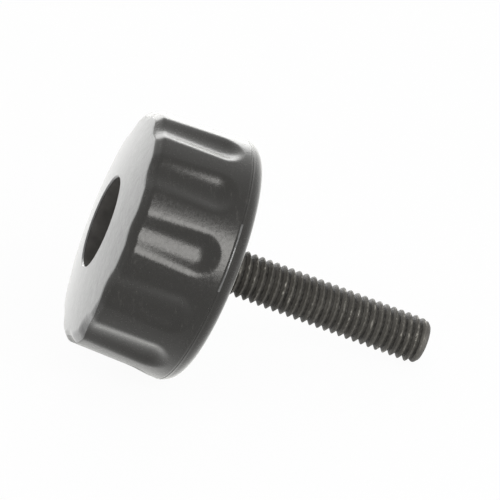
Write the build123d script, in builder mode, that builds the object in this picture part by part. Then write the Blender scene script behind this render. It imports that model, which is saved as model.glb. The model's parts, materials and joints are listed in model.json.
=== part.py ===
from build123d import *
import math
import os

os.makedirs("parts", exist_ok=True)

# Knob body: widths, heights above the base, and edges
rim_diameter = 31.6
grip_taper = 0.4
shoulder_height = 14.35
crown_rise = 1.3
rim_round = 2.0
face_bevel = 0.85

# Grip flutes: scoops with rounded ends, open at the face
flute_count = 12
flute_radius = 5.0
flute_depth = 0.95
flute_end = 4.2
nose_share = 0.55
flute_margin = 1.4

# Screw: coarse M6 with a hexagon head, its shank plain where it passes the knob
thread_diameter = 6.0
shank_diameter = 5.3
screw_length = 35.0
tip_chamfer = 0.6
head_flats = 10.0
head_height = 4.0
head_chamfer_angle = 30.0
head_top_share = 0.95

# Seat of the screw in the knob, and the open recess above its head
web_thickness = 6.7
head_gap = 0.05
thread_gap = 0.1
pocket_margin = 0.5
recess_diameter = 11.8
mouth_bevel = 0.25

# Turn of the knob about its axis as it lies
knob_turn = -24.3

# Sizes that follow from the ones above
rim_r = rim_diameter / 2
face_r = rim_r - grip_taper
crown_top = shoulder_height + crown_rise
bevel_start = shoulder_height - face_bevel
flute_orbit = rim_r - flute_depth + flute_radius
flute_reach = flute_end * math.sqrt(1 - (1 - flute_depth / flute_radius) ** 2)
flute_start = rim_round + flute_margin + flute_reach
thread_r = thread_diameter / 2
stud_length = screw_length - web_thickness
head_top = web_thickness + head_height
pocket_top = head_top + pocket_margin
head_corner_r = head_flats / 2 / math.cos(math.pi / 6)
head_top_r = head_flats / 2 * head_top_share
head_drop = (head_corner_r - head_top_r) * math.tan(math.radians(head_chamfer_angle))

# Resting place: the part lies on its rounded rim and on the end of its thread
contact_run = rim_round + stud_length - tip_chamfer
contact_rise = rim_r - rim_round - thread_r
contact_span = math.hypot(contact_rise, contact_run)
rest_tilt = math.atan2(contact_rise, contact_run) + math.asin(rim_round / contact_span)
lean, level = math.sin(rest_tilt), math.cos(rest_tilt)
lying = Plane(origin=(0, 0, 0), x_dir=(lean, 0, level), z_dir=(-level, 0, lean))
resting = lying.location * Rot(0, 0, knob_turn)

# Round-ended scoop that shapes one flute, flared to bevel the edge of the face
with BuildPart() as scoop:
    with BuildSketch(Plane.XZ):
        with BuildLine():
            nose = Bezier(
                (0, flute_start - flute_end),
                (flute_radius * nose_share, flute_start - flute_end),
                (flute_radius, flute_start - flute_end * nose_share),
                (flute_radius, flute_start),
            )
            wall = Line(nose @ 1, (flute_radius, bevel_start))
            flare = Line(wall @ 1, (flute_radius + crown_top - bevel_start, crown_top))
            Polyline(flare @ 1, (0, crown_top), nose @ 0)
        make_face()
    revolve(axis=Axis.Z)

# Knob body, one moulding, modelled with its base down and its face up
with BuildPart() as knob_body:
    with BuildSketch(Plane.XZ):
        with BuildLine():
            foot = Line((0, 0), (rim_r - rim_round, 0))
            corner = JernArc(foot @ 1, foot % 1, rim_round, 90)
            side = Line(corner @ 1, (face_r, bevel_start))
            bevel = Line(side @ 1, (face_r - face_bevel, shoulder_height))
            crown = TangentArc((0, crown_top), bevel @ 1, tangent=(1, 0))
            Line(crown @ 0, foot @ 0)
        make_face()
        Rectangle(thread_r + thread_gap, pocket_top, align=Align.MIN, mode=Mode.SUBTRACT)
        with Locations((0, pocket_top)):
            Rectangle(recess_diameter / 2, crown_top, align=Align.MIN, mode=Mode.SUBTRACT)
        chamfer(vertices().sort_by(Axis.Y)[-1], mouth_bevel)
    revolve(axis=Axis.Z)

    # Flutes round the grip, a land on either side of each
    with PolarLocations(flute_orbit, flute_count, start_angle=180 / flute_count):
        add(scoop.part, mode=Mode.SUBTRACT)

    # Hexagon pocket between the recess and the web
    with BuildSketch(Plane.XY.offset(web_thickness)):
        RegularPolygon(head_flats / 2 + head_gap, 6, major_radius=False)
    extrude(amount=head_height + pocket_margin, mode=Mode.SUBTRACT)

knob_body.part.locate(resting)
knob_body.part.label = "knob_body"
export_step(knob_body.part, "parts/knob_body.step")

# Screw, head seated on the web, thread through the base
with BuildPart() as screw:
    with BuildSketch(Plane.XY.offset(web_thickness)):
        RegularPolygon(head_flats / 2, 6, major_radius=False)
    extrude(amount=head_height)
    with BuildSketch(Plane.XZ):
        Polygon(
            (head_top_r, head_top),
            (head_corner_r, head_top),
            (head_corner_r, head_top - head_drop),
            align=None,
        )
    revolve(axis=Axis.Z, mode=Mode.SUBTRACT)
    with BuildSketch(Plane.XY):
        Circle(shank_diameter / 2)
    extrude(amount=web_thickness)
    with BuildSketch(Plane.XY.offset(-stud_length)):
        Circle(thread_r)
    extrude(amount=stud_length)
    tip_face = faces().sort_by(Axis.Z)[0]
    chamfer(tip_face.edges(), tip_chamfer)

screw.part.locate(resting)
screw.part.label = "screw"
export_step(screw.part, "parts/screw.step")
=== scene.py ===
import json
import math

import bpy
import numpy as np
from mathutils import Matrix, Vector


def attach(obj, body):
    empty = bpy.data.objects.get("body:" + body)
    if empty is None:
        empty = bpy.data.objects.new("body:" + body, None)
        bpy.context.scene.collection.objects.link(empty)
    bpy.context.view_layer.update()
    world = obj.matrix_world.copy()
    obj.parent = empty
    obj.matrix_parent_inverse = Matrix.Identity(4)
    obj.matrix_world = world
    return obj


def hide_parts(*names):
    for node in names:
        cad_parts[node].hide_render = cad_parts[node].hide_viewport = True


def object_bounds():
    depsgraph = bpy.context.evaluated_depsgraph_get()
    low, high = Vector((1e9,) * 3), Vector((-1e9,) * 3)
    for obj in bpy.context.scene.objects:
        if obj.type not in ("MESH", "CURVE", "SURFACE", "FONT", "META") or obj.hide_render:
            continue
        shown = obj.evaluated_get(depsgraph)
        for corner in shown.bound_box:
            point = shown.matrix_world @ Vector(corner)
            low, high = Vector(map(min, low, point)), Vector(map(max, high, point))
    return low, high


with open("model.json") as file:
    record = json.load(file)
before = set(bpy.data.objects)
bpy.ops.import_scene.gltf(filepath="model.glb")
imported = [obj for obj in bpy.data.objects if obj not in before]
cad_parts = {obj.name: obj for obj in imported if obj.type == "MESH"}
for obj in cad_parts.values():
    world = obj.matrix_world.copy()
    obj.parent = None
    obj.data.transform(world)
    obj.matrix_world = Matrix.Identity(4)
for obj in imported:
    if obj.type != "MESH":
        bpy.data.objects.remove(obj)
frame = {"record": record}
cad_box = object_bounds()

MM = 0.001

# Knob body, in millimetres, with heights measured from the flat base along the axis
RIM_R = 15.8
GRIP_TAPER = 0.4
SHOULDER = 14.35
CROWN_RISE = 1.3
RIM_ROUND = 2.0
BEVEL = 0.85

# Taken off all radii of the moulding, so that it stays inside the box of the CAD
SKIN_INSET = 0.02

# Turn of the knob about its axis as it lies, in degrees
KNOB_TURN = -24.3

# Flutes, in millimetres: scoops with a rounded lower end, wider by the slope above the bevel's start
FLUTES = 12
FLUTE_R = 5.0
FLUTE_DEPTH = 0.95
FLUTE_END = 4.2
FLUTE_MARGIN = 1.4
FLARE_SLOPE = 0.75

# Reach over which the edges of the flutes and of the face are rounded, in millimetres
FLUTE_BLEND = 0.45
EDGE_BLEND = 0.22

# Parting line above the rim, and its ridge of flash, in millimetres
PARTING_STEP = 0.06
FLASH_RISE = 0.1
FLASH_WIDTH = 0.14
FLASH_TOP = 1.9

# Ridge of flash from below, by shares of its rise and of its width under its top
FLASH_PROFILE = ((0.0, 1.5), (1.0, 1.0), (1.0, 0.5), (-0.4, 0.0))

# Share of the rise that is left outside the stretch of flash that is rubbed and painted as a highlight
FLASH_THIN = 0.3

# Recess, hexagon pocket and hole, in millimetres
WEB = 6.7
POCKET_MARGIN = 0.5
HEAD_GAP = 0.05
HOLE_GAP = 0.1
MOUTH_ROUND = 0.3

# Screw, in millimetres
SCREW_LENGTH = 35.0
SHANK_R = 2.65
HEAD_FLATS = 10.0
HEAD_HEIGHT = 4.0
HEAD_TOP_SHARE = 0.95
HEAD_CHAMFER_ANGLE = 30.0

# Thread, in millimetres: a little inside the CAD's stud, with a plain tip and a runout behind it
PITCH = 1.0
THREAD_INSET = 0.03
THREAD_DEPTH = 0.56
THREAD_TOP = 1.5
TIP_CHAMFER = 0.6
TIP_PLAIN = 0.3
TIP_RUNOUT = 0.9

# Share of the thread's depth by which the plain tip lies under the crests
RUNOUT_SHARE = 0.45

# Share of a smooth wave in the straight flanks, which rounds crest and root
CREST_ROUND = 0.3

# Stretches in degrees about the knob's axis: of the flash, higher, rubbed and painted pale as a
# highlight; of the face's edge, painted pale as light from the floor
FLASH_RUB_HIGHLIGHT = (302.0, 334.0)
EDGE_PAINTED_LIGHT = (205.0, 280.0)

# Depth under the crown to which the face is pale, and how much more in the stretch of its edge that is
# painted pale as light from the floor, in millimetres
FACE_BAND = 0.06
EDGE_LIGHT_REACH = 0.7

# Share of the mouth's round that is pale, as a painted highlight
MOUTH_HIGHLIGHT = 0.8

# Shares of the way from crest to root: rubbed and painted as highlight up to the first, painted shade
# from the second
CREST_RUB_HIGHLIGHT = 0.24
ROOT_SHADE = 0.66

# Finishes of both pieces, in the order of their materials: the second rubbed, and in places a painted
# highlight; the third dust in the knob and painted shade on the screw
PLAIN, WORN_AND_HIGHLIT, DUST_AND_SHADE = range(3)

# Mesh of the knob: columns round the axis, and rows of each stretch
KNOB_COLUMNS = 528
RIM_ROWS = 17
SIDE_ROWS = 46
CROWN_ROWS = 12
MOUTH_ROWS = 7
RECESS_ROWS = 6

# Rows round the edge of the face, between rays at these degrees up from the plane of the base
EDGE_TURNS = (0.0, 28.0, 56.0, 90.0)
EDGE_ROWS = (14, 44, 11)

# Core inside the grip, from which its surface is searched for by halving, in millimetres
CORE_R = 10.5
CORE_H = 10.5
CORE_REACH = 8.0
HALVINGS = 40

# Rings of the flat base: shares of the rim's radius, and millimetres outside the hole
BASE_SHARES = (0.4, 0.7)
HOLE_EDGE = 0.2

# End of the rim's arc under the flash, in degrees
RIM_TURN = 80.0

# First ring of the recess's wall, in millimetres under the top of the crown
RECESS_START = 1.2

# Mesh of the screw: columns round the axis, and rows in each turn of the thread
THREAD_COLUMNS = 72
THREAD_STEPS = 20

# Edges that turn by more degrees than this are shaded sharp
SHARP_ANGLE = 50.0

# Camera as in the photograph, in degrees and metres, with its sensor in millimetres
AZIMUTH = -4.6
ELEVATION = 21.6
DISTANCE = 0.6
FRAME_WIDTH = 0.0619
AIM_RIGHT = 0.00427
AIM_UP = 0.00179
SENSOR = 36.0

# Square soft lamps, in degrees, watts and metres
LAMP_DISTANCE = 0.7
KEY_LAMP = {"azimuth": 26.0, "elevation": 22.0, "power": 3.8, "size": 0.42}
BACK_LAMP = {"azimuth": 178.0, "elevation": 14.0, "power": 2.2, "size": 0.5}

# White of the surroundings, and the strength of the light that they cast
WHITE = (1.0, 1.0, 1.0, 1.0)
WORLD_LIGHT = 0.7

# Stage, in metres: reach of the floor to the front and sides, place and top of the wall behind
STAGE_REACH = 1.5
WALL_PLACE = 0.8
WALL_TOP = 0.9

# Colour of the matt stage
STAGE_TONE = (0.82, 0.82, 0.82, 1.0)

# Share of the stage that is plain white to the camera and to reflections, the rest being matt
CAMERA_WHITE = 0.95
MIRROR_WHITE = 0.9

# Sizes that follow from the frame and from the ones above
mounts = {m["name"]: m for m in frame["record"]["mounts"]}
stud_axis = Vector(mounts["stud"]["axis"])
THREAD_R = mounts["stud"]["dims"]["r_mm"]
RECESS_R = mounts["recess"]["dims"]["r_mm"]
HOLE_R = THREAD_R + HOLE_GAP
LIP_R = RIM_R - PARTING_STEP
FACE_R = RIM_R - GRIP_TAPER
CROWN_TOP = SHOULDER + CROWN_RISE
BEVEL_START = SHOULDER - BEVEL
CROWN_EDGE_R = FACE_R - BEVEL
CROWN_BALL = (CROWN_EDGE_R**2 + CROWN_RISE**2) / (2 * CROWN_RISE)
FLUTE_ORBIT = RIM_R - FLUTE_DEPTH + FLUTE_R
FLUTE_RUNOUT = FLUTE_END * math.sqrt(1 - (1 - FLUTE_DEPTH / FLUTE_R) ** 2)
FLUTE_START = RIM_ROUND + FLUTE_MARGIN + FLUTE_RUNOUT
STUD = SCREW_LENGTH - WEB
HEAD_TOP = WEB + HEAD_HEIGHT
HEAD_TOP_R = HEAD_FLATS / 2 * HEAD_TOP_SHARE
HEAD_SLOPE = math.tan(math.radians(HEAD_CHAMFER_ANGLE))
POCKET_TOP = HEAD_TOP + POCKET_MARGIN

# The knob's own frame: face along local Z, turned about the axis as it lies
face_dir = -stud_axis
upper = Vector((face_dir.z, 0, -face_dir.x))
side_dir = face_dir.cross(upper)
lying = Matrix((upper, side_dir, face_dir)).transposed().to_4x4()
knob_frame = lying @ Matrix.Rotation(math.radians(KNOB_TURN), 4, "Z")


def soft_max(a, b, reach):
    """The larger of two fields, rounded where they meet."""
    near = np.maximum(reach - np.abs(a - b), 0) / reach
    return np.maximum(a, b) + near * near * reach / 4


def bulge(degrees, start, end):
    """Rises smoothly from 0 at the ends of a stretch of degrees to 1 at its middle."""
    t = np.clip(1 - np.abs(2 * degrees - start - end) / (end - start), 0, 1)
    return t * t * (3 - 2 * t)


def crown_height(r):
    """Height of the crowned face at a radius."""
    return CROWN_TOP - CROWN_BALL + np.sqrt(CROWN_BALL**2 - r**2)


def plain_field(r, h):
    """How far a point lies outside the grip without flutes: its tapered side, bevel and crown."""
    slope = GRIP_TAPER / (BEVEL_START - RIM_ROUND)
    side = r - (RIM_R - (h - RIM_ROUND) * slope)
    bevel = (r - FACE_R + h - BEVEL_START) / math.sqrt(2)
    crown = h - crown_height(np.minimum(r, RIM_R))
    return soft_max(soft_max(side, bevel, EDGE_BLEND), crown, EDGE_BLEND)


def scoop_field(r, h, angle):
    """How far a point lies inside the scoop of the nearest flute."""
    step = 2 * math.pi / FLUTES
    away = (angle % step) - step / 2
    q = np.hypot(r * np.cos(away) - FLUTE_ORBIT, r * np.sin(away))
    wall = FLUTE_R - q
    below = np.maximum(FLUTE_START - h, 0) / FLUTE_END
    nose = FLUTE_R * (1 - np.hypot(q / FLUTE_R, below))
    flare = (wall + (h - BEVEL_START) * FLARE_SLOPE) / math.hypot(1, FLARE_SLOPE)
    inside = np.where(h < FLUTE_START, nose, wall)
    return soft_max(inside, flare, EDGE_BLEND)


def grip_field(r, h, angle):
    """Above zero outside the fluted grip."""
    return soft_max(plain_field(r, h), scoop_field(r, h, angle), FLUTE_BLEND)


def grip_rows():
    """Start in the core and direction of each row, up the side, round the edge and over the crown."""
    side = [(CORE_R, h, 0.0) for h in np.linspace(RIM_ROUND, CORE_H, SIDE_ROWS, endpoint=False)]
    edge = []
    for start, end, rows in zip(EDGE_TURNS, EDGE_TURNS[1:], EDGE_ROWS):
        turns = np.linspace(math.radians(start), math.radians(end), rows, endpoint=False)
        edge += [(CORE_R, CORE_H, turn) for turn in turns]
    radii = np.linspace(CORE_R, RECESS_R + MOUTH_ROUND, CROWN_ROWS)
    crown = [(r, CORE_H, math.pi / 2) for r in radii]
    return np.array(side + edge + crown)


def grip_rings(angle):
    """Radii and heights of the fluted grip, found by halving steps out from the core."""
    rows = grip_rows()
    r0, h0, turn = (rows[:, k : k + 1] for k in range(3))
    low = np.zeros((len(rows), len(angle)))
    high = np.full_like(low, CORE_REACH)
    for _ in range(HALVINGS):
        mid = (low + high) / 2
        outside = grip_field(r0 + np.cos(turn) * mid, h0 + np.sin(turn) * mid, angle) > 0
        high = np.where(outside, mid, high)
        low = np.where(outside, low, mid)
    return r0 + np.cos(turn) * low, h0 + np.sin(turn) * low


def hexagon(flats, angle):
    """Radius at each angle of a hexagon with this width across its flats."""
    return flats / 2 / np.cos((angle + math.pi / 6) % (math.pi / 3) - math.pi / 6)


def rim_rings():
    """Flat base from the hole outwards, then the rounded rim up to the parting line."""
    radii = (HOLE_R, HOLE_R + HOLE_EDGE, *(RIM_R * share for share in BASE_SHARES), RIM_R - RIM_ROUND)
    rings = [(r, 0.0) for r in radii]
    for t in np.linspace(0, math.radians(RIM_TURN), RIM_ROWS)[1:]:
        rings.append((LIP_R - RIM_ROUND + RIM_ROUND * math.sin(t), RIM_ROUND - RIM_ROUND * math.cos(t)))
    return rings


def flash_rings(degrees):
    """Ridge of flash on the parting line, highest in its stretch that is rubbed and painted as a
    highlight.
    """
    rise = FLASH_RISE * (FLASH_THIN + (1 - FLASH_THIN) * bulge(degrees, *FLASH_RUB_HIGHLIGHT))
    return [(LIP_R + rise * out, FLASH_TOP - FLASH_WIDTH * drop) for out, drop in FLASH_PROFILE]


def recess_rings(angle):
    """Rounded mouth, recess, hexagon pocket and hole, from the face inwards."""
    rings = []
    for t in np.linspace(0, math.pi / 2, MOUTH_ROWS)[1:]:
        r = RECESS_R + MOUTH_ROUND * (1 - math.sin(t))
        rings.append((r, crown_height(RECESS_R) - MOUTH_ROUND * (1 - math.cos(t))))
    for h in np.linspace(CROWN_TOP - RECESS_START, POCKET_TOP, RECESS_ROWS):
        rings.append((RECESS_R, h))
    pocket = hexagon(HEAD_FLATS + 2 * HEAD_GAP, angle)
    for h in (POCKET_TOP, (POCKET_TOP + WEB) / 2, WEB):
        rings.append((pocket, h))
    for h in (WEB, WEB / 2):
        rings.append((HOLE_R, h))
    return rings


def round_angles(columns):
    """Angles of the columns of a mesh, once round."""
    return np.linspace(0, 2 * math.pi, columns, endpoint=False)


def stack(rings, columns):
    """Full grids of radii and heights from rings that may hold single numbers."""
    blank = np.zeros((1, columns))
    full = [np.broadcast_arrays(r, h, blank)[:2] for r, h in rings]
    return (np.concatenate(grids) for grids in zip(*full))


def grid_mesh(name, r, h, angle, closed):
    """Mesh over rings of points, with its last ring joined to its first or with two flat ends."""
    rows, cols = r.shape
    verts = np.stack([r * np.cos(angle), r * np.sin(angle), h], axis=-1).reshape(-1, 3) * MM
    faces = []
    for i in range(rows if closed else rows - 1):
        a, b = i * cols, (i + 1) % rows * cols
        for j in range(cols):
            k = (j + 1) % cols
            faces.append((a + j, a + k, b + k, b + j))
    if not closed:
        faces.append(tuple(reversed(range(cols))))
        faces.append(tuple(range(len(verts) - cols, len(verts))))
    mesh = bpy.data.meshes.new(name)
    mesh.from_pydata([tuple(v) for v in verts], [], faces)
    mesh.polygons.foreach_set("use_smooth", [True] * len(faces))
    mesh.set_sharp_from_angle(angle=math.radians(SHARP_ANGLE))
    piece = bpy.data.objects.new(name, mesh)
    bpy.context.scene.collection.objects.link(piece)
    mesh.transform(knob_frame)
    mesh.update()
    return piece


def set_finish(piece, finish):
    """Gives each face of a piece its own finish."""
    piece.data.polygons.foreach_set("material_index", finish.astype(np.int32).reshape(-1))


def knob_finish(r, h, degrees, flash_rows):
    """Rubbed on the face; a painted highlight on the mouth's round and on a stretch of the flash, which
    is rubbed too; painted light from the floor on a stretch of the face's edge; dusty in the recess.
    """
    # The band reaches deeper on one stretch of the edge, as painted light from the floor
    band = FACE_BAND + EDGE_LIGHT_REACH * bulge(degrees, *EDGE_PAINTED_LIGHT)
    inner = r < RECESS_R + MOUTH_ROUND
    face_and_lit_edge = (h - crown_height(np.clip(r, 0, RIM_R)) > -band) & (r > RECESS_R)
    # The mouth's pale round is a painted highlight
    pale_mouth_highlight = inner & (h > crown_height(RECESS_R) - MOUTH_ROUND * MOUTH_HIGHLIGHT)
    in_recess = inner & (h >= WEB) & ~pale_mouth_highlight
    pale = (face_and_lit_edge | pale_mouth_highlight) & np.roll(face_and_lit_edge | pale_mouth_highlight, -1, axis=0)
    # The flash's pale stretch is partly rubbed and partly a painted highlight
    pale[flash_rows] = (degrees > FLASH_RUB_HIGHLIGHT[0]) & (degrees < FLASH_RUB_HIGHLIGHT[1])
    return np.where(in_recess, DUST_AND_SHADE, np.where(pale, WORN_AND_HIGHLIT, PLAIN))


def build_knob():
    """One moulding: base, rounded rim, fluted grip, crown, recess, pocket and hole."""
    angle = round_angles(KNOB_COLUMNS)
    degrees = np.degrees(angle)
    lower = rim_rings()
    flash = flash_rings(degrees)
    r, h = stack(lower + flash + [grip_rings(angle)] + recess_rings(angle), KNOB_COLUMNS)
    r = r - SKIN_INSET
    knob = grid_mesh("knob_moulding", r, h, angle, closed=True)
    flash_rows = slice(len(lower) - 1, len(lower) + len(flash) - 1)
    set_finish(knob, knob_finish(r, h, degrees, flash_rows))
    return knob


def off_crest(height, turn):
    """Share of the way from the nearest crest of the right-hand thread to its root."""
    return np.abs((height / PITCH - turn) % 1 - 0.5) * 2


def thread_radius(height, turn):
    """Radius of the thread with rounded crest and root, running out at the tip."""
    away = off_crest(height, turn)
    fall = away * (1 - CREST_ROUND + CREST_ROUND * away * (3 - 2 * away))
    cut = np.clip((height + STUD - TIP_PLAIN) / TIP_RUNOUT, 0, 1)
    full = THREAD_R - THREAD_INSET - THREAD_DEPTH * (RUNOUT_SHARE + (fall - RUNOUT_SHARE) * cut)
    return np.minimum(full, THREAD_R - THREAD_INSET - TIP_CHAMFER + height + STUD)


def screw_finish(h, turn):
    """Rubbed and painted as highlight on the crests of the thread, painted shade in its roots, plain
    elsewhere and on both ends.
    """
    away = off_crest(h, turn)
    threaded = (h > TIP_CHAMFER - STUD) & (h < THREAD_TOP)
    # Crests are rubbed steel and partly a painted highlight
    highlit_crests = np.where(threaded & (away < CREST_RUB_HIGHLIGHT), WORN_AND_HIGHLIT, PLAIN)
    # Roots of the thread are darkened as painted shade
    finish = np.where(threaded & (away > ROOT_SHADE), DUST_AND_SHADE, highlit_crests)
    return np.append(finish[:-1], (PLAIN, PLAIN))


def build_screw():
    """Threaded stud, plain shank and hexagon head, on one grid of rings."""
    angle = round_angles(THREAD_COLUMNS)
    turn = angle / (2 * math.pi)
    steps = int((STUD + THREAD_TOP) / PITCH * THREAD_STEPS)
    height = np.linspace(-STUD, THREAD_TOP, steps)[:, None]
    side = hexagon(HEAD_FLATS, angle)
    rings = [
        (thread_radius(height, turn), height),
        (SHANK_R, THREAD_TOP),
        (SHANK_R, WEB),
        (side, WEB),
        (side, HEAD_TOP - (side - HEAD_TOP_R) * HEAD_SLOPE),
        (HEAD_TOP_R, HEAD_TOP),
    ]
    r, h = stack(rings, THREAD_COLUMNS)
    screw = grid_mesh("threaded_screw", r, h, angle, closed=False)
    set_finish(screw, screw_finish(h, turn))
    return screw


class Nodes:
    """Short way to add and link the shader nodes of a material or of the world."""

    def __init__(self, owner):
        owner.use_nodes = True
        self.tree = owner.node_tree
        self.tree.nodes.clear()

    def add(self, kind, inputs=None, **settings):
        """A node with its settings, and its inputs linked to sockets or set to values."""
        node = self.tree.nodes.new(kind)
        for key, value in settings.items():
            setattr(node, key, value)
        for key, value in (inputs or {}).items():
            if isinstance(value, bpy.types.NodeSocket):
                self.tree.links.new(value, node.inputs[key])
            else:
                node.inputs[key].default_value = value
        return node

    def place(self):
        """Coordinates of the piece itself, in metres."""
        return self.add("ShaderNodeTexCoord").outputs["Object"]

    def scaled(self, where, scale):
        """Coordinates scaled along each axis, so that a noise is drawn out along the small ones."""
        return self.add("ShaderNodeMapping", {"Vector": where, "Scale": scale}).outputs[0]

    def noise(self, where, scale, detail=4.0, rough=0.55):
        """Noise, its scale being about the number of spots in a metre."""
        inputs = {"Vector": where, "Scale": scale, "Detail": detail, "Roughness": rough}
        return self.add("ShaderNodeTexNoise", inputs).outputs["Fac"]

    def ramp(self, value, span, to=(0.0, 1.0)):
        """Straight ramp from one span of values to another, level outside it."""
        inputs = {
            "Value": value,
            "From Min": span[0],
            "From Max": span[1],
            "To Min": to[0],
            "To Max": to[1],
        }
        return self.add("ShaderNodeMapRange", inputs).outputs["Result"]

    def calc(self, kind, a, b):
        """One sum, product or larger value of two numbers."""
        return self.add("ShaderNodeMath", {0: a, 1: b}, operation=kind).outputs[0]

    def mix(self, share, a, b):
        """Colour between two, by the Mix node's colour sockets 6, 7 and 2."""
        first, second = (c if isinstance(c, bpy.types.NodeSocket) else (*c, 1.0) for c in (a, b))
        return self.add("ShaderNodeMix", {0: share, 6: first, 7: second}, data_type="RGBA").outputs[2]

    def bump(self, height, strength, distance):
        """Fine relief, its distance in metres."""
        inputs = {"Height": height, "Strength": strength, "Distance": distance}
        return self.add("ShaderNodeBump", inputs).outputs["Normal"]

    def surface(self, shader, kind="ShaderNodeOutputMaterial"):
        """Links a shader to the output."""
        self.add(kind, {"Surface": shader.outputs[0]})

    def principled(self, inputs):
        """Principled shader as the surface."""
        self.surface(self.add("ShaderNodeBsdfPrincipled", inputs))


def plastic():
    """Black moulded plastic, satin and scuffed."""
    material = bpy.data.materials.new("worn_black_plastic")
    n = Nodes(material)
    where = n.place()
    grain = n.noise(where, scale=2600.0, detail=3.0)
    cloud = n.noise(where, scale=240.0, detail=5.0)
    scratch = n.noise(n.scaled(where, (1.0, 0.16, 0.35)), scale=2400.0, rough=0.7)
    scuff = n.calc("MULTIPLY", n.ramp(scratch, (0.56, 0.72)), n.ramp(cloud, (0.42, 0.62)))
    black = (0.0075, 0.0071, 0.0062)
    grey = (0.03, 0.0285, 0.026)
    n.principled(
        {
            "Base Color": n.mix(scuff, black, grey),
            "Roughness": n.ramp(grain, (0.3, 0.7), to=(0.17, 0.3)),
            "Normal": n.bump(n.calc("ADD", grain, scratch), strength=0.1, distance=0.0001),
            "IOR": 1.48,
            "Specular Tint": (1.0, 0.985, 0.955, 1.0),
            "Sheen Weight": 0.85,
            "Sheen Roughness": 0.36,
            "Sheen Tint": (1.0, 1.0, 0.96, 1.0),
        }
    )
    return material


def rubbed_highlight_plastic():
    """The same plastic where it is rubbed, streaked and finely dented, pale at a low angle; also laid on
    the mouth, the flash and a stretch of the face's edge as painted highlight and painted light.
    """
    material = bpy.data.materials.new("rubbed_highlight_black_plastic")
    n = Nodes(material)
    where = n.place()
    grain = n.noise(where, scale=1500.0, detail=5.0, rough=0.65)
    cloud = n.noise(where, scale=420.0, detail=6.0, rough=0.6)
    streak = n.noise(n.scaled(where, (1.0, 0.3, 0.25)), scale=1300.0, detail=5.0, rough=0.7)
    speck = n.noise(where, scale=900.0, detail=2.0, rough=0.4)
    # These pale tones also carry the painted highlight and painted light where this material is laid off
    # the face
    dark = (0.022, 0.022, 0.0215)
    light = (0.05, 0.05, 0.049)
    streak_grey = (0.09, 0.09, 0.088)
    speck_black = (0.02, 0.019, 0.018)
    clouded = n.mix(n.ramp(cloud, (0.3, 0.7)), dark, light)
    streaked = n.mix(n.ramp(streak, (0.45, 0.7)), clouded, streak_grey)
    dents = n.calc("MULTIPLY", cloud, 2.0)
    height = n.calc("ADD", n.calc("ADD", grain, streak), dents)
    n.principled(
        {
            "Base Color": n.mix(n.ramp(speck, (0.7, 0.74)), streaked, speck_black),
            "Roughness": n.ramp(grain, (0.3, 0.7), to=(0.3, 0.45)),
            "Normal": n.bump(height, strength=0.7, distance=0.0002),
            "IOR": 1.5,
            "Sheen Weight": 1.0,
            "Sheen Roughness": 0.4,
            "Sheen Tint": (1.0, 1.0, 0.98, 1.0),
            "Coat Weight": 1.0,
            "Coat Roughness": 0.05,
        }
    )
    return material


def dusty_plastic():
    """The same plastic inside the recess, dull and dusty."""
    material = bpy.data.materials.new("dusty_black_plastic")
    n = Nodes(material)
    cloud = n.noise(n.place(), scale=500.0, detail=5.0)
    thin_dust = (0.06, 0.056, 0.051)
    thick_dust = (0.11, 0.104, 0.095)
    tone = n.mix(n.ramp(cloud, (0.3, 0.7)), thin_dust, thick_dust)
    n.principled({"Base Color": tone, "Roughness": 0.6, "IOR": 1.6})
    return material


def black_oxide():
    """Blackened steel, dull, with rubbed specks."""
    material = bpy.data.materials.new("black_oxide_steel")
    n = Nodes(material)
    where = n.place()
    speck = n.noise(where, scale=3000.0, rough=0.7)
    cloud = n.noise(where, scale=500.0)
    dark = (0.066, 0.062, 0.055)
    light = (0.112, 0.106, 0.095)
    rubbed = (0.2, 0.19, 0.17)
    clouded = n.mix(n.ramp(cloud, (0.35, 0.7)), dark, light)
    n.principled(
        {
            "Base Color": n.mix(n.ramp(speck, (0.62, 0.75)), clouded, rubbed),
            "Roughness": n.ramp(speck, (0.35, 0.7), to=(0.6, 0.45)),
            "Normal": n.bump(speck, strength=0.25, distance=0.0001),
            "Metallic": 0.3,
        }
    )
    return material


def rubbed_highlight_steel():
    """The same steel on the crests of the thread, where the black is rubbed off in spots, pale partly as
    a painted highlight.
    """
    material = bpy.data.materials.new("rubbed_highlight_black_steel")
    n = Nodes(material)
    where = n.place()
    spot = n.noise(where, scale=1300.0, rough=0.65)
    patch = n.noise(where, scale=260.0, detail=3.0)
    # Pale bare spots on the crests, partly a painted highlight
    bare_highlight_spots = n.calc("MULTIPLY", n.ramp(spot, (0.5, 0.62)), n.ramp(patch, (0.42, 0.6)))
    black = (0.085, 0.08, 0.07)
    steel = (0.34, 0.325, 0.29)
    n.principled(
        {
            "Base Color": n.mix(bare_highlight_spots, black, steel),
            "Roughness": n.ramp(spot, (0.35, 0.7), to=(0.55, 0.4)),
            "Normal": n.bump(spot, strength=0.25, distance=0.0001),
            "Metallic": 0.5,
        }
    )
    return material


def root_shade_steel():
    """The same steel at the roots of the thread, darkened as painted shade."""
    material = bpy.data.materials.new("root_shade_black_steel")
    n = Nodes(material)
    shade_mottle = n.noise(n.place(), scale=900.0, rough=0.6)
    # Dark tones of painted shade in the roots
    deep_shade = (0.012, 0.011, 0.009)
    light_shade = (0.04, 0.037, 0.032)
    tone = n.mix(n.ramp(shade_mottle, (0.35, 0.7)), deep_shade, light_shade)
    n.principled({"Base Color": tone, "Roughness": n.ramp(shade_mottle, (0.3, 0.7), to=(0.5, 0.65))})
    return material


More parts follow.
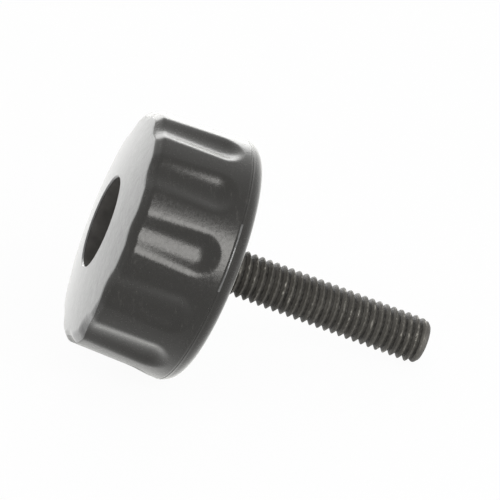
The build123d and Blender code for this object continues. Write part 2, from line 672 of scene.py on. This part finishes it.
def pale_stage():
    """Pale matt stage, white to the camera and in reflections, with the shadow kept."""
    material = bpy.data.materials.new("pale_stage")
    n = Nodes(material)
    path = n.add("ShaderNodeLightPath").outputs
    matt = n.add("ShaderNodeBsdfDiffuse", {"Color": STAGE_TONE})
    glow = n.add("ShaderNodeEmission", {"Color": WHITE, "Strength": 1.0})
    seen = n.calc("MULTIPLY", path["Is Camera Ray"], CAMERA_WHITE)
    passed = n.calc("MAXIMUM", path["Is Glossy Ray"], path["Is Transmission Ray"])
    mirrored = n.calc("MULTIPLY", passed, MIRROR_WHITE)
    share = n.calc("MAXIMUM", seen, mirrored)
    n.surface(n.add("ShaderNodeMixShader", {0: share, 1: matt.outputs[0], 2: glow.outputs[0]}))
    return material


def add_stage():
    """Floor under the part and a wall behind it."""
    low = cad_box[0][2]
    left, right = -STAGE_REACH, STAGE_REACH
    corners = [
        (left, -STAGE_REACH, low),
        (right, -STAGE_REACH, low),
        (right, WALL_PLACE, low),
        (left, WALL_PLACE, low),
        (right, WALL_PLACE, WALL_TOP),
        (left, WALL_PLACE, WALL_TOP),
    ]
    mesh = bpy.data.meshes.new("stage")
    mesh.from_pydata(corners, [], [(0, 1, 2, 3), (3, 2, 4, 5)])
    mesh.materials.append(pale_stage())
    stage = bpy.data.objects.new("stage", mesh)
    bpy.context.scene.collection.objects.link(stage)


def add_world():
    """Even white surroundings, as in a light tent, dimmer for the light that they cast."""
    world = bpy.data.worlds.new("studio")
    bpy.context.scene.world = world
    n = Nodes(world)
    path = n.add("ShaderNodeLightPath").outputs
    direct = n.calc("MAXIMUM", path["Is Camera Ray"], path["Is Transmission Ray"])
    seen = n.calc("MAXIMUM", direct, path["Is Glossy Ray"])
    level = n.ramp(seen, (0.0, 1.0), to=(WORLD_LIGHT, 1.0))
    ground = n.add("ShaderNodeBackground", {"Color": WHITE, "Strength": level})
    n.surface(ground, "ShaderNodeOutputWorld")


def direction(azimuth, elevation):
    """Unit vector by turn from the front towards +X, and by rise."""
    a, e = math.radians(azimuth), math.radians(elevation)
    return Vector((math.sin(a) * math.cos(e), -math.cos(a) * math.cos(e), math.sin(e)))


def add_lamp(name, azimuth, elevation, power, size):
    """Square soft lamp that points at the part from an azimuth and an elevation."""
    lamp = bpy.data.lights.new(name, "AREA")
    lamp.energy = power
    lamp.size = size
    obj = bpy.data.objects.new(name, lamp)
    way = direction(azimuth, elevation)
    obj.location = way * LAMP_DISTANCE
    obj.rotation_euler = way.to_track_quat("Z", "Y").to_euler()
    bpy.context.scene.collection.objects.link(obj)


def add_camera():
    """Long lens at the photograph's viewing angle and framing."""
    turn = math.radians(AZIMUTH)
    back = direction(AZIMUTH, ELEVATION)
    right = Vector((math.cos(turn), math.sin(turn), 0))
    up = back.cross(right)
    aim = right * AIM_RIGHT + up * AIM_UP
    data = bpy.data.cameras.new("camera")
    data.sensor_width = SENSOR
    data.lens = SENSOR * DISTANCE / FRAME_WIDTH
    camera = bpy.data.objects.new("camera", data)
    axes = Matrix((right, up, back)).transposed().to_4x4()
    camera.matrix_world = Matrix.Translation(aim + back * DISTANCE) @ axes
    bpy.context.scene.collection.objects.link(camera)
    bpy.context.scene.camera = camera


bpy.context.scene.view_settings.view_transform = "Standard"

knob = build_knob()
for material in (plastic(), rubbed_highlight_plastic(), dusty_plastic()):
    knob.data.materials.append(material)
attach(knob, "root")
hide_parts("knob_body")

screw = build_screw()
for material in (black_oxide(), rubbed_highlight_steel(), root_shade_steel()):
    screw.data.materials.append(material)
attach(screw, "root")
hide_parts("screw")

add_stage()
add_world()
add_lamp("key", **KEY_LAMP)
add_lamp("back", **BACK_LAMP)
add_camera()
